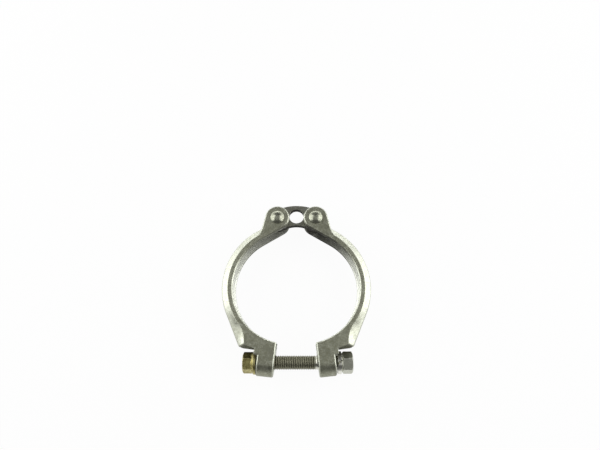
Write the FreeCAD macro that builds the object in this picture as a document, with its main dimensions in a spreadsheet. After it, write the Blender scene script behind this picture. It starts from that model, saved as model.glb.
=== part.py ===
import FreeCAD, Part
import math
import os

import Sketcher

# V band clamp: two identical cast half rings with a turned V groove, joined at the top by a
# pinned link and pulled together at the bottom by a bolt and a flanged lock nut.
#
# Row frame, millimetres: the ring's axis is Z, X runs along the bolt, Y points at the hinge.
# The origin is the centre of the closed ring, midway between its side faces.
# Each half is drawn in its closed position, where its arcs are centred on the origin, and its
# Placement then swings it open about its own hinge pin.

DIMENSIONS = [
    # alias, value, what it is
    ("half_width", 6.0, "half of the clamp's width along the ring's axis"),
    ("lip_radius", 26.0, "inner radius of the two lips beside the groove"),
    ("face_radius", 28.3, "outer radius of the flat side faces"),
    ("rim_radius", 31.3, "outer radius of the ring"),
    ("rim_half_width", 3.7, "half width of the ring at its outer radius"),
    ("groove_radius", 29.3, "radius of the groove's bottom"),
    ("groove_mouth", 4.3, "half width of the groove at the lips"),
    ("flank_angle", 20.0, "slope of each groove flank from the flange plane, degrees"),
    ("pin_across", 9.35, "distance of each hinge pin from the centre line"),
    ("pin_up", 32.7, "height of the hinge pins above the ring's centre"),
    ("pin_radius", 2.0, "hinge pin shank"),
    ("eye_radius", 5.8, "hinge eye of each half"),
    ("neck_fillet", 10.0, "fillet between the ring and the neck of the eye"),
    ("neck_waist", 0.75, "reach of the neck's hollow beyond the eye's own side"),
    ("neck_angle", -59.0, "direction of the neck seen from the pin, degrees"),
    ("slot_width", 3.3, "clevis slot between the two ears of the eye"),
    ("slot_depth", 5.6, "closed end of the clevis slot, from the pin"),
    ("ridge_end", 62.0, "angle where the ring's ridge has run into the neck, degrees"),
    ("open_angle", 6.0, "swing of each half from closed to this open pose, degrees"),
    ("link_half_height", 5.2, "half height of the link, and its end radius"),
    ("link_thickness", 3.0, "thickness of the link plate"),
    ("link_arc_centre", 16.5, "height of the centre that the link is bent about"),
    ("link_hole_radius", 3.65, "hole in the middle of the link"),
    ("link_hole_up", 34.8, "height of the hole in the link"),
    ("pin_play", 0.05, "running clearance of a pin in the link"),
    ("head_radius", 3.3, "heads of a hinge pin"),
    ("head_height", 1.6, "height of a pin's heads"),
    ("head_edge", 0.3, "straight edge under the dome or the bevel of a pin's head"),
    ("head_flat", 2.2, "flat of a pin's bevelled back head, radius"),
    ("bolt_down", 34.7, "distance of the bolt's axis below the ring's centre"),
    ("lug_inner", 2.7, "inner face of the lug from the centre line"),
    ("lug_outer", 12.0, "outer side of the lug from the centre line"),
    ("lug_top", 20.0, "height inside the ring that the lug is cast up to, down"),
    ("seat_x", 10.3, "spot face that the washer or the nut bears on"),
    ("seat_radius", 6.6, "radius of the spot face"),
    ("bolt_hole_radius", 3.6, "clearance hole in the lug"),
    ("shoulder_start", 30.0, "angle below the X axis where the shoulder leaves the ring"),
    ("shoulder_fillet", 12.0, "hollow curve of the shoulder's side face"),
    ("shoulder_across", 17.0, "narrowest reach of that curve from the centre line"),
    ("shoulder_corner_y", 28.1, "outer corner of the shoulder's side face, down"),
    ("shoulder_slope", 15.0, "slope of the side face's lower edge, degrees"),
    ("shoulder_floor", 29.7, "underside of the shoulder between the bevels, down"),
    ("shoulder_overlap", 3.0, "reach of the shoulder into the lug and the ring"),
    ("corner_face", 0.9, "corner radius of the shoulder on the side face"),
    ("corner_rim", 1.5, "corner radius of the shoulder at full width"),
    ("edge_break", 0.4, "broken edges of the eye, the lug and the ring's rim"),
    ("bolt_radius", 3.0, "bolt shank and thread"),
    ("bolt_tip", -23.5, "free end of the bolt along X"),
    ("bolt_lead", 0.6, "lead-in cone at the free end"),
    ("bolt_head_start", 20.05, "bearing face of the bolt head along X"),
    ("bolt_head_end", 25.1, "outer end of the bolt head along X"),
    ("bolt_collar", 0.4, "thickness of the collar under the head"),
    ("bolt_flats", 8.4, "hexagon of the bolt head across flats"),
    ("bolt_turn", 12.0, "turn of the head's corners from the Y axis, degrees"),
    ("washer_start", 18.35, "face of the washer next to the lug along X"),
    ("washer_thickness", 1.6, "thickness of the spring washer"),
    ("washer_bore", 3.2, "bore radius of the spring washer"),
    ("washer_radius", 4.9, "outer radius of the spring washer"),
    ("washer_gap", 1.0, "width of the washer's slanted split"),
    ("washer_lean", 1.2, "how far the split leans over half the washer's thickness"),
    ("nut_seat", -18.0, "bearing face of the nut along X"),
    ("nut_end", -23.8, "outer end of the nut along X"),
    ("nut_flats", 8.0, "hexagon of the nut across flats"),
    ("nut_turn", 8.0, "turn of the nut's corners from the Y axis, degrees"),
    ("nut_flange_radius", 5.1, "flange of the nut"),
    ("nut_flange", 1.1, "thickness of the nut's flange"),
    ("nut_cone", 1.1, "length of the cone between flange and hexagon"),
    ("nut_rim", 0.2, "broken edge of the nut's flange"),
    ("nut_bore", 3.06, "bore of the nut over the bolt's thread"),
    ("bevel_angle", 30.0, "bevel on the corners of the hexagons, degrees"),
]

# Two measures nearer than this, in millimetres, are taken as equal.
TINY = 0.01

doc = FreeCAD.newDocument("VBandClamp")
sheet = doc.addObject("Spreadsheet::Sheet", "Dimensions")


def fill_sheet():
    """Write every driving dimension to the sheet, with its alias and its meaning."""
    for row, (alias, value, meaning) in enumerate(DIMENSIONS, start=1):
        sheet.set("A%d" % row, alias)
        sheet.set("B%d" % row, str(value))
        sheet.set("C%d" % row, meaning)
        sheet.setAlias("B%d" % row, alias)
    doc.recompute()


def dim(alias):
    """Value of one cell, for start positions and for lengths worked out from it."""
    return float(sheet.get(alias))


def cell(text):
    """Expression that reads cells of the sheet; each alias is written as #alias."""
    return text.replace("#", "Dimensions.")


def at(x, y, z=0.0):
    return FreeCAD.Vector(x, y, z)


def polar(radius, degrees):
    turn = math.radians(degrees)
    return at(radius * math.cos(turn), radius * math.sin(turn))


# ---------------------------------------------------------------- building blocks

def new_body(name):
    body = doc.addObject("PartDesign::Body", name)
    body.Label = name
    return body


def origin_plane(body, role):
    return [item for item in body.Origin.OriginFeatures if item.Role == role][0]


def new_sketch(body, name, role="XY_Plane", offset=None):
    """A sketch on one of the body's own planes; offset is an expression along its normal."""
    sketch = body.newObject("Sketcher::SketchObject", name)
    sketch.AttachmentSupport = [(origin_plane(body, role), "")]
    sketch.MapMode = "FlatFace"
    if offset:
        sketch.setExpression("AttachmentOffset.Base.z", cell(offset))
    return sketch


def bind(sketch, label, expression, *constraint):
    """Add a dimension to a sketch and tie it to the sheet under a readable name."""
    index = sketch.addConstraint(Sketcher.Constraint(*constraint))
    sketch.renameConstraint(index, label)
    sketch.setExpression("Constraints." + label, cell(expression))


def fix_point(sketch, geometry, point, label, x_text, y_text, where):
    """Place a point by two dimensions from the sketch's origin."""
    for axis, kind, text, value in (("x", "DistanceX", x_text, where.x),
                                    ("y", "DistanceY", y_text, where.y)):
        bind(sketch, label + "_" + axis, text, kind, -1, 1, geometry, point, value)


def link_ends(sketch, kind, pairs):
    """Join ends of curves, either Coincident or Tangent, as (curve, end, curve, end)."""
    for pair in pairs:
        sketch.addConstraint(Sketcher.Constraint(kind, *pair))


def outline(sketch, corners, names):
    """Closed outline of straight lines; names gives the x and y expression of each corner."""
    count = len(corners)
    for index in range(count):
        after = corners[(index + 1) % count]
        sketch.addGeometry(Part.LineSegment(corners[index], after), False)
    link_ends(sketch, "Coincident", [(i, 2, (i + 1) % count, 1) for i in range(count)])
    for index, (x_text, y_text) in enumerate(names):
        fix_point(sketch, index, 1, "p%d" % index, x_text, y_text, corners[index])


def circle(sketch, label, x_text, y_text, radius_text, centre, radius):
    """A circle placed and sized from the sheet."""
    index = sketch.addGeometry(Part.Circle(centre, at(0, 0, 1), radius), False)
    fix_point(sketch, index, 3, label, x_text, y_text, centre)
    bind(sketch, label + "_radius", radius_text, "Radius", index, radius)


def arc_through(centre, radius, start, end):
    """Arc between two points, drawn counter-clockwise about its centre."""
    first = math.atan2(start.y - centre.y, start.x - centre.x)
    last = math.atan2(end.y - centre.y, end.x - centre.x)
    return Part.ArcOfCircle(Part.Circle(centre, at(0, 0, 1), radius), first, last)


def pad(body, name, sketch, length, both_sides=True):
    feature = body.newObject("PartDesign::Pad", name)
    feature.Profile = sketch
    feature.Midplane = both_sides
    feature.setExpression("Length", cell(length))
    sketch.Visibility = False
    return feature


def pocket(body, name, sketch, length=None, both_sides=True, reverse=False):
    """Cut a sketch away, through everything unless a length is given."""
    feature = body.newObject("PartDesign::Pocket", name)
    feature.Profile = sketch
    feature.Midplane = both_sides
    feature.Reversed = reverse
    if length is None:
        feature.Type = "ThroughAll"
    else:
        feature.setExpression("Length", cell(length))
    sketch.Visibility = False
    return feature


def turned(body, kind, name, sketch, angle="360"):
    """Revolution or Groove of a section about the sketch's upright axis."""
    feature = body.newObject("PartDesign::" + kind, name)
    feature.Profile = sketch
    feature.ReferenceAxis = (sketch, ["V_Axis"])
    feature.setExpression("Angle", cell(angle))
    sketch.Visibility = False
    return feature


def edges_where(shape, accept):
    """Names of the open edges whose middle point, and box, pass a test."""
    found = []
    for number, edge in enumerate(shape.Edges, start=1):
        middle = edge.valueAt((edge.FirstParameter + edge.LastParameter) / 2)
        if not edge.isClosed() and accept(middle, edge.BoundBox):
            found.append("Edge%d" % number)
    return found


def broken(body, name, base, names, size):
    """Chamfer on named edges of the body's last feature."""
    feature = body.newObject("PartDesign::Chamfer", name)
    feature.Base = (base, names)
    feature.setExpression("Size", cell(size))
    return feature


def expect_change(before, feature, sign):
    """Stop when a feature has not added or removed anything."""
    doc.recompute()
    change = feature.Shape.Volume - before
    if change * sign <= 0.01:
        raise RuntimeError("%s changed the volume by %.3f" % (feature.Name, change))
    return feature.Shape.Volume


# ---------------------------------------------------------------- one half of the clamp

GROOVE_FLOOR = "(#groove_mouth - (#groove_radius - #lip_radius) * tan(#flank_angle * 1 deg))"


def ring_section(body):
    """Section of the ring before it is bored: flat side faces with a wide outer bevel."""
    sketch = new_sketch(body, "RingSection", "XZ_Plane")
    turned_back = FreeCAD.Rotation(at(0, 1, 0), -dim("shoulder_start"))
    sketch.AttachmentOffset = FreeCAD.Placement(at(0, 0), turned_back)
    sketch.setExpression("AttachmentOffset.Rotation.Angle", cell("-#shoulder_start"))
    inner = dim("lip_radius") - 1
    face, rim = dim("face_radius"), dim("rim_radius")
    half, flat = dim("half_width"), dim("rim_half_width")
    corners = [at(inner, -half), at(face, -half), at(rim, -flat),
               at(rim, flat), at(face, half), at(inner, half)]
    names = [("#lip_radius - 1", "-#half_width"), ("#face_radius", "-#half_width"),
             ("#rim_radius", "-#rim_half_width"), ("#rim_radius", "#rim_half_width"),
             ("#face_radius", "#half_width"), ("#lip_radius - 1", "#half_width")]
    outline(sketch, corners, names)
    return sketch


def eye_outline(body):
    """Hinge eye, its hollow neck on the outside and its straight inner edge.

    The straight edge touches both the lip circle and the eye, and the neck is a line that
    touches the eye and a fillet, which in turn touches the ring's side face."""
    pin = at(dim("pin_across"), dim("pin_up"))
    eye, lip, face = dim("eye_radius"), dim("lip_radius"), dim("face_radius")
    fillet = dim("neck_fillet")
    reach = math.hypot(pin.x, pin.y)
    inner_turn = math.degrees(math.atan2(pin.y, pin.x) - math.acos((lip + eye) / reach))
    touch_lip = polar(lip, inner_turn)
    touch_eye = pin - polar(eye, inner_turn)
    fillet_x = pin.x + eye + dim("neck_waist") + fillet
    fillet_centre = at(fillet_x, math.sqrt((face + fillet) ** 2 - fillet_x ** 2))
    touch_face = fillet_centre * (face / (face + fillet))
    between = fillet_centre - pin
    neck_turn = math.degrees(math.atan2(between.y, between.x)
                             + math.acos((eye + fillet) / between.Length))
    neck_top = pin + polar(eye, neck_turn)
    neck_foot = fillet_centre - polar(fillet, neck_turn)

    sketch = new_sketch(body, "EyeOutline")
    sketch.addGeometry(arc_through(pin, eye, neck_top, touch_eye), False)
    sketch.addGeometry(Part.LineSegment(touch_eye, touch_lip), False)
    sketch.addGeometry(Part.LineSegment(touch_lip, touch_face), False)
    sketch.addGeometry(arc_through(fillet_centre, fillet, neck_foot, touch_face), False)
    sketch.addGeometry(Part.LineSegment(neck_foot, neck_top), False)
    lip_circle = sketch.addGeometry(Part.Circle(at(0, 0), at(0, 0, 1), lip), True)
    face_circle = sketch.addGeometry(Part.Circle(at(0, 0), at(0, 0, 1), face), True)
    link_ends(sketch, "Coincident", [(lip_circle, 3, -1, 1), (face_circle, 3, -1, 1),
                                     (1, 2, 2, 1), (2, 2, 3, 2)])
    link_ends(sketch, "Tangent", [(0, 2, 1, 1), (3, 1, 4, 1), (4, 2, 0, 1),
                                  (1, 2, lip_circle), (3, 2, face_circle)])
    fix_point(sketch, 0, 3, "pin", "#pin_across", "#pin_up", pin)
    bind(sketch, "eye", "#eye_radius", "Radius", 0, eye)
    bind(sketch, "fillet", "#neck_fillet", "Radius", 3, fillet)
    bind(sketch, "lip", "#lip_radius", "Radius", lip_circle, lip)
    bind(sketch, "face", "#face_radius", "Radius", face_circle, face)
    bind(sketch, "fillet_x", "#pin_across + #eye_radius + #neck_waist + #neck_fillet",
         "DistanceX", -1, 1, 3, 3, fillet_x)
    return sketch


def inside_of_eye(body):
    """Everything on the ring's side of the eye's straight inner edge, above the lip circle."""
    pin = at(dim("pin_across"), dim("pin_up"))
    turn = "(atan2(#pin_up; #pin_across) - acos((#lip_radius + #eye_radius) / "
    turn += "sqrt(#pin_across ^ 2 + #pin_up ^ 2)))"
    lip = dim("lip_radius")
    angle = math.atan2(pin.y, pin.x) - math.acos((lip + dim("eye_radius")) / pin.Length)
    inner, run = lip / 2, lip
    along = at(-math.sin(angle), math.cos(angle)) * run
    start = polar(lip, math.degrees(angle))
    deep = polar(inner, math.degrees(angle))
    corners = [start, start + along, deep + along, deep]
    names = [("#lip_radius * cos(T)", "#lip_radius * sin(T)"),
             ("#lip_radius * (cos(T) - sin(T))", "#lip_radius * (sin(T) + cos(T))"),
             ("#lip_radius * (cos(T) / 2 - sin(T))", "#lip_radius * (sin(T) / 2 + cos(T))"),
             ("#lip_radius / 2 * cos(T)", "#lip_radius / 2 * sin(T)")]
    sketch = new_sketch(body, "EyeInside")
    outline(sketch, corners, [(x.replace("T", turn), y.replace("T", turn)) for x, y in names])
    return sketch


def shoulder_inside():
    """Inner corners of the shoulder, hidden in the ring and the lug."""
    top = at(dim("lug_outer") - dim("shoulder_overlap"), dim("shoulder_overlap") - dim("lip_radius"))
    root = polar(dim("lip_radius"), -dim("shoulder_start"))
    return top, root


def close_shoulder(sketch, low_text, low_y):
    """Finish a shoulder outline: end of its lower edge, inner side and the way back."""
    link_ends(sketch, "Coincident", [(4, 2, 5, 1), (5, 2, 6, 1), (6, 2, 0, 1)])
    top, root = shoulder_inside()
    inner_text = "#lug_outer - #shoulder_overlap"
    fix_point(sketch, 4, 2, "low", inner_text, low_text, at(top.x, low_y))
    fix_point(sketch, 5, 2, "top", inner_text, "#shoulder_overlap - #lip_radius", top)
    fix_point(sketch, 0, 1, "root", "#lip_radius * cos(#shoulder_start)",
              "-#lip_radius * sin(#shoulder_start)", root)


def shoulder_face(body):
    """Shoulder outline on the side face: ring arc, hollow curve, corner and lower edge."""
    face, fillet = dim("face_radius"), dim("shoulder_fillet")
    corner, slope = dim("corner_face"), math.radians(dim("shoulder_slope"))
    hollow_x = dim("shoulder_across") + fillet
    hollow = at(hollow_x, -math.sqrt((face + fillet) ** 2 - hollow_x ** 2))
    touch_face = hollow * (face / (face + fillet))
    low = at(dim("shoulder_across"), -dim("shoulder_corner_y"))
    rise = corner * (1 / math.cos(slope) - math.tan(slope))
    centre = low + at(-corner, rise)
    side = centre + at(corner, 0)
    under = centre + at(corner * math.sin(slope), -corner * math.cos(slope))
    top, root = shoulder_inside()
    inner_low = at(top.x, low.y - (low.x - top.x) * math.tan(slope))
    outer = polar(face, -dim("shoulder_start"))

    sketch = new_sketch(body, "ShoulderFace", offset="#half_width")
    sketch.addGeometry(Part.LineSegment(root, outer), False)
    sketch.addGeometry(arc_through(at(0, 0), face, touch_face, outer), False)
    sketch.addGeometry(arc_through(hollow, fillet, touch_face, side), False)
    sketch.addGeometry(arc_through(centre, corner, under, side), False)
    sketch.addGeometry(Part.LineSegment(under, inner_low), False)
    sketch.addGeometry(Part.LineSegment(inner_low, top), False)
    sketch.addGeometry(Part.LineSegment(top, root), False)
    link_ends(sketch, "Coincident", [(0, 2, 1, 2), (1, 3, -1, 1)])
    link_ends(sketch, "Tangent", [(1, 1, 2, 1), (2, 2, 3, 2), (3, 1, 4, 1)])
    close_shoulder(sketch, "-#shoulder_corner_y - tan(#shoulder_slope)"
                   " * (#shoulder_across - #lug_outer + #shoulder_overlap)", inner_low.y)
    bind(sketch, "face", "#face_radius", "Radius", 1, face)
    bind(sketch, "outer_x", "#face_radius * cos(#shoulder_start)",
         "DistanceX", -1, 1, 0, 2, outer.x)
    bind(sketch, "hollow", "#shoulder_fillet", "Radius", 2, fillet)
    bind(sketch, "hollow_x", "#shoulder_across + #shoulder_fillet",
         "DistanceX", -1, 1, 2, 3, hollow_x)
    bind(sketch, "corner", "#corner_face", "Radius", 3, corner)
    bind(sketch, "slope", "180 + #shoulder_slope", "Angle", -1, 4, math.pi + slope)
    return sketch


def shoulder_rim(body, name, offset=None):
    """Shoulder outline at full size: straight on from the ring's rim to a rounded corner."""
    rim, corner, start = dim("rim_radius"), dim("corner_rim"), dim("shoulder_start")
    floor = -dim("shoulder_floor")
    outer = polar(rim, -start)
    down = at(-math.sin(math.radians(start)), -math.cos(math.radians(start)))
    sharp = outer + down * ((floor - outer.y) / down.y)
    cut = corner * math.tan(math.radians(90 - start) / 2)
    side = sharp - down * cut
    under = sharp - at(cut, 0)
    middle = outer + down * 5
    top, root = shoulder_inside()
    inner_low = at(top.x, floor)

    sketch = new_sketch(body, name, offset=offset)
    sketch.addGeometry(Part.LineSegment(root, outer), False)
    sketch.addGeometry(Part.LineSegment(outer, middle), False)
    sketch.addGeometry(Part.LineSegment(middle, side), False)
    sketch.addGeometry(arc_through(under + at(0, corner), corner, under, side), False)
    sketch.addGeometry(Part.LineSegment(under, inner_low), False)
    sketch.addGeometry(Part.LineSegment(inner_low, top), False)
    sketch.addGeometry(Part.LineSegment(top, root), False)
    link_ends(sketch, "Coincident", [(0, 2, 1, 1)])
    link_ends(sketch, "Tangent", [(1, 2, 2, 1), (2, 2, 3, 2), (3, 1, 4, 1)])
    sketch.addConstraint(Sketcher.Constraint("Perpendicular", 0, 1))
    close_shoulder(sketch, "-#shoulder_floor", floor)
    bind(sketch, "rim_x", "#rim_radius * cos(#shoulder_start)", "DistanceX", -1, 1, 0, 2, outer.x)
    bind(sketch, "rim_y", "-#rim_radius * sin(#shoulder_start)", "DistanceY", -1, 1, 0, 2, outer.y)
    bind(sketch, "middle_x", "#rim_radius * cos(#shoulder_start) - 5 * sin(#shoulder_start)",
         "DistanceX", -1, 1, 1, 2, middle.x)
    bind(sketch, "corner", "#corner_rim", "Radius", 3, corner)
    sketch.addConstraint(Sketcher.Constraint("Horizontal", 4))
    return sketch


def lug_section(body):
    """Lug seen along the bolt: straight sides and a half-round end about the bolt."""
    half, axis_y = dim("half_width"), -dim("bolt_down")
    top = -dim("lug_top")
    sketch = new_sketch(body, "LugSection", "YZ_Plane", "#lug_inner")
    sketch.addGeometry(Part.LineSegment(at(axis_y, half), at(top, half)), False)
    sketch.addGeometry(Part.LineSegment(at(top, half), at(top, -half)), False)
    sketch.addGeometry(Part.LineSegment(at(top, -half), at(axis_y, -half)), False)
    sketch.addGeometry(arc_through(at(axis_y, 0), half, at(axis_y, half), at(axis_y, -half)),
                       False)
    link_ends(sketch, "Coincident", [(0, 2, 1, 1), (1, 2, 2, 1)])
    link_ends(sketch, "Tangent", [(2, 2, 3, 2), (3, 1, 0, 1)])
    fix_point(sketch, 0, 2, "top", "-#lug_top", "#half_width", at(top, half))
    fix_point(sketch, 1, 2, "back", "-#lug_top", "-#half_width", at(top, -half))
    bind(sketch, "axis", "-#bolt_down", "DistanceX", -1, 1, 3, 3, axis_y)
    bind(sketch, "middle", "0", "DistanceY", -1, 1, 3, 3, 0)
    sketch.addConstraint(Sketcher.Constraint("Horizontal", 0))
    return sketch


def turned_bore(body):
    """Section that the lathe removes: the bore between the lips and the V groove."""
    sketch = new_sketch(body, "BoreSection", "XZ_Plane")
    lip, deep = dim("lip_radius"), dim("groove_radius")
    mouth, wall = dim("groove_mouth"), dim("half_width") + 1
    floor = mouth - (deep - lip) * math.tan(math.radians(dim("flank_angle")))
    corners = [at(10, -wall), at(lip, -wall), at(lip, -mouth), at(deep, -floor),
               at(deep, floor), at(lip, mouth), at(lip, wall), at(10, wall)]
    names = [("10", "-#half_width - 1"), ("#lip_radius", "-#half_width - 1"),
             ("#lip_radius", "-#groove_mouth"), ("#groove_radius", "-" + GROOVE_FLOOR),
             ("#groove_radius", GROOVE_FLOOR), ("#lip_radius", "#groove_mouth"),
             ("#lip_radius", "#half_width + 1"), ("10", "#half_width + 1")]
    outline(sketch, corners, names)
    return sketch


def clevis_slot(body):
    """Plan of the saw cut that divides the eye into two ears."""
    pin = at(dim("pin_across"), dim("pin_up"))
    depth, side, back = dim("slot_depth"), 12, 10
    along, across = polar(1, dim("neck_angle")), polar(1, dim("neck_angle") + 90)
    corners = []
    names = []
    for forward, sideways in ((depth, -side), (depth, side), (-back, side), (-back, -side)):
        corners.append(pin + along * forward + across * sideways)
        reach = "#slot_depth" if forward > 0 else str(-back)
        names.append(("#pin_across + %s * cos(#neck_angle) - %d * sin(#neck_angle)"
                      % (reach, sideways),
                      "#pin_up + %s * sin(#neck_angle) + %d * cos(#neck_angle)"
                      % (reach, sideways)))
    sketch = new_sketch(body, "ClevisSlot")
    outline(sketch, corners, names)
    return sketch


def is_eye_edge(middle, box):
    """Outline of the side faces round the hinge eye and its neck."""
    reach = math.hypot(middle.x - dim("pin_across"), middle.y - dim("pin_up"))
    return (box.ZLength < TINY and abs(abs(middle.z) - dim("half_width")) < TINY
            and reach < dim("lip_radius") / 2)


def is_lug_edge(middle, box):
    """Outline of the lug's inner face and of its seat, below the groove."""
    in_plane = min(abs(middle.x - dim("lug_inner")), abs(middle.x - dim("seat_x"))) < TINY
    return in_plane and box.XLength < TINY and middle.y < -dim("groove_radius")


def is_rim_edge(middle, box):
    """The two long edges of the ring at its outer radius."""
    off_rim = abs(math.hypot(middle.x, middle.y) - dim("rim_radius"))
    return (off_rim < TINY and box.ZLength < TINY
            and box.YLength > dim("rim_radius"))


def clamp_half(name):
    """One cast half: ring, hinge eye and lug, then everything that is machined into it."""
    body = new_body(name)
    ring = turned(body, "Revolution", "Ring", ring_section(body),
                  "#shoulder_start + #ridge_end")
    volume = expect_change(0, ring, 1)
    volume = expect_change(volume, pad(body, "Eye", eye_outline(body), "2 * #half_width"), 1)
    shoulder = pad(body, "Shoulder", shoulder_rim(body, "ShoulderRim"), "2 * #rim_half_width")
    volume = expect_change(volume, shoulder, 1)

    bevel = body.newObject("PartDesign::AdditiveLoft", "ShoulderBevel")
    bevel.Profile = shoulder_rim(body, "BevelFoot", "#rim_half_width")
    bevel.Sections = [shoulder_face(body)]
    bevel.Ruled = True
    volume = expect_change(volume, bevel, 1)
    other_bevel = body.newObject("PartDesign::Mirrored", "OtherBevel")
    other_bevel.Originals = [bevel]
    other_bevel.MirrorPlane = (origin_plane(body, "XY_Plane"), [""])
    body.Tip = other_bevel
    volume = expect_change(volume, other_bevel, 1)

    lug = pad(body, "Lug", lug_section(body), "#lug_outer - #lug_inner", both_sides=False)
    volume = expect_change(volume, lug, 1)
    inside = pocket(body, "StraightInside", inside_of_eye(body))
    volume = expect_change(volume, inside, -1)
    bore = turned(body, "Groove", "BoreAndGroove", turned_bore(body))
    volume = expect_change(volume, bore, -1)
    slot = pocket(body, "Clevis", clevis_slot(body), "#slot_width")
    volume = expect_change(volume, slot, -1)

    sketch = new_sketch(body, "PinHoleSketch")
    circle(sketch, "hole", "#pin_across", "#pin_up", "#pin_radius",
           at(dim("pin_across"), dim("pin_up")), dim("pin_radius"))
    volume = expect_change(volume, pocket(body, "PinHole", sketch), -1)
    sketch = new_sketch(body, "BoltHoleSketch", "YZ_Plane")
    circle(sketch, "hole", "-#bolt_down", "0", "#bolt_hole_radius",
           at(-dim("bolt_down"), 0), dim("bolt_hole_radius"))
    volume = expect_change(volume, pocket(body, "BoltHole", sketch), -1)
    sketch = new_sketch(body, "SeatSketch", "YZ_Plane", "#seat_x")
    circle(sketch, "seat", "-#bolt_down", "0", "#seat_radius",
           at(-dim("bolt_down"), 0), dim("seat_radius"))
    seat = pocket(body, "SpotFace", sketch, both_sides=False, reverse=True)
    volume = expect_change(volume, seat, -1)

    last = seat
    for label, accept in (("EyeBreak", is_eye_edge), ("LugBreak", is_lug_edge),
                          ("RimBreak", is_rim_edge)):
        names = edges_where(last.Shape, accept)
        last = broken(body, label, last, names, "#edge_break")
        volume = expect_change(volume, last, -1)
    return body


# ---------------------------------------------------------------- the small pieces

def hinge_pin(name):
    """Rivet through the eye: bevelled factory head at the back, formed dome in front."""
    body = new_body(name)
    sketch = new_sketch(body, "PinSection", "XZ_Plane")
    radius, head, half = dim("pin_radius"), dim("head_radius"), dim("half_width")
    edge, height, flat = dim("head_edge"), dim("head_height"), dim("head_flat")
    dome = height - edge
    dome_radius = (head ** 2 + dome ** 2) / (2 * dome)
    top = half + height
    centre = at(0, top - dome_radius)
    corners = [at(0, -top), at(flat, -top), at(head, -half - edge), at(head, -half),
               at(radius, -half), at(radius, half), at(head, half), at(head, half + edge),
               at(0, top)]
    last = len(corners) - 1
    for index in range(last - 1):
        sketch.addGeometry(Part.LineSegment(corners[index], corners[index + 1]), False)
    sketch.addGeometry(arc_through(centre, dome_radius, corners[-2], corners[-1]), False)
    sketch.addGeometry(Part.LineSegment(corners[-1], corners[0]), False)
    link_ends(sketch, "Coincident", [(i, 2, (i + 1) % (last + 1), 1) for i in range(last + 1)])
    top_text = "#half_width + #head_height"
    edge_text = "#half_width + #head_edge"
    texts = [("0", "-(%s)" % top_text), ("#head_flat", "-(%s)" % top_text),
             ("#head_radius", "-(%s)" % edge_text), ("#head_radius", "-#half_width"),
             ("#pin_radius", "-#half_width"), ("#pin_radius", "#half_width"),
             ("#head_radius", "#half_width"), ("#head_radius", edge_text), ("0", top_text)]
    for index, (x_text, y_text) in enumerate(texts):
        fix_point(sketch, index, 1, "p%d" % index, x_text, y_text, corners[index])
    sketch.addConstraint(Sketcher.Constraint("PointOnObject", last - 1, 3, -2))
    expect_change(0, turned(body, "Revolution", "Pin", sketch), 1)
    return body


def hinge_link(name):
    """Bent plate between the pins: an arc-shaped slot outline with three holes."""
    body = new_body(name)
    pin = at(dim("pin_across"), dim("pin_up"))
    left_pin = at(-pin.x, pin.y)
    centre = at(0, dim("link_arc_centre"))
    end = dim("link_half_height")
    middle = (pin - centre).Length
    outward = (pin - centre) * (1 / middle)
    left_out = at(-outward.x, outward.y)
    upper, lower = middle + end, middle - end

    sketch = new_sketch(body, "LinkOutline")
    sketch.addGeometry(arc_through(centre, upper, centre + outward * upper,
                                   centre + left_out * upper), False)
    sketch.addGeometry(arc_through(left_pin, end, centre + left_out * upper,
                                   centre + left_out * lower), False)
    sketch.addGeometry(arc_through(centre, lower, centre + outward * lower,
                                   centre + left_out * lower), False)
    sketch.addGeometry(arc_through(pin, end, centre + outward * lower,
                                   centre + outward * upper), False)
    link_ends(sketch, "Tangent", [(0, 2, 1, 1), (1, 2, 2, 2), (2, 1, 3, 1), (3, 2, 0, 1)])
    sketch.addConstraint(Sketcher.Constraint("PointOnObject", 0, 3, -2))
    bind(sketch, "centre", "#link_arc_centre", "DistanceY", -1, 1, 0, 3, centre.y)
    fix_point(sketch, 3, 3, "pin", "#pin_across", "#pin_up", pin)
    fix_point(sketch, 1, 3, "left", "-#pin_across", "#pin_up", left_pin)
    bind(sketch, "end", "#link_half_height", "Radius", 3, end)
    hole = dim("pin_radius") + dim("pin_play")
    circle(sketch, "right_hole", "#pin_across", "#pin_up", "#pin_radius + #pin_play", pin, hole)
    circle(sketch, "left_hole", "-#pin_across", "#pin_up", "#pin_radius + #pin_play",
           left_pin, hole)
    circle(sketch, "eye", "0", "#link_hole_up", "#link_hole_radius",
           at(0, dim("link_hole_up")), dim("link_hole_radius"))
    expect_change(0, pad(body, "Plate", sketch, "#link_thickness"), 1)
    return body


def hexagon(sketch, flats_text, flats, turn_text, turn):
    """Regular hexagon about the origin, with its first corner turned from the X axis."""
    radius = flats / math.sqrt(3)
    corners = [polar(radius, turn + 60 * index) for index in range(6)]
    texts = [("%s / sqrt(3) * cos(%s + %d)" % (flats_text, turn_text, 60 * index),
              "%s / sqrt(3) * sin(%s + %d)" % (flats_text, turn_text, 60 * index))
             for index in range(6)]
    outline(sketch, corners, texts)


def cone_trim(body, name, start_text, start, flats_text, flats, upward):
    """Bevel the corners of a hexagon at one of its ends.

    The cutter's section starts just inside the flats, at 0.48 of their width from the axis,
    and ends outside the corners, at 0.62 of it."""
    sketch = new_sketch(body, name + "Section", "XZ_Plane")
    sign = 1 if upward else -1
    inner, outer = flats * 0.48, flats * 0.62
    drop = (outer - inner) * math.tan(math.radians(dim("bevel_angle")))
    corners = [at(inner, start), at(outer, start - sign * drop), at(outer, start)]
    inner_text = "0.48 * %s" % flats_text
    outer_text = "0.62 * %s" % flats_text
    drop_text = "(0.62 - 0.48) * %s * tan(#bevel_angle)" % flats_text
    texts = [(inner_text, start_text),
             (outer_text, "%s %s %s" % (start_text, "-" if upward else "+", drop_text)),
             (outer_text, start_text)]
    outline(sketch, corners, texts)
    return turned(body, "Groove", name, sketch)


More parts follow.
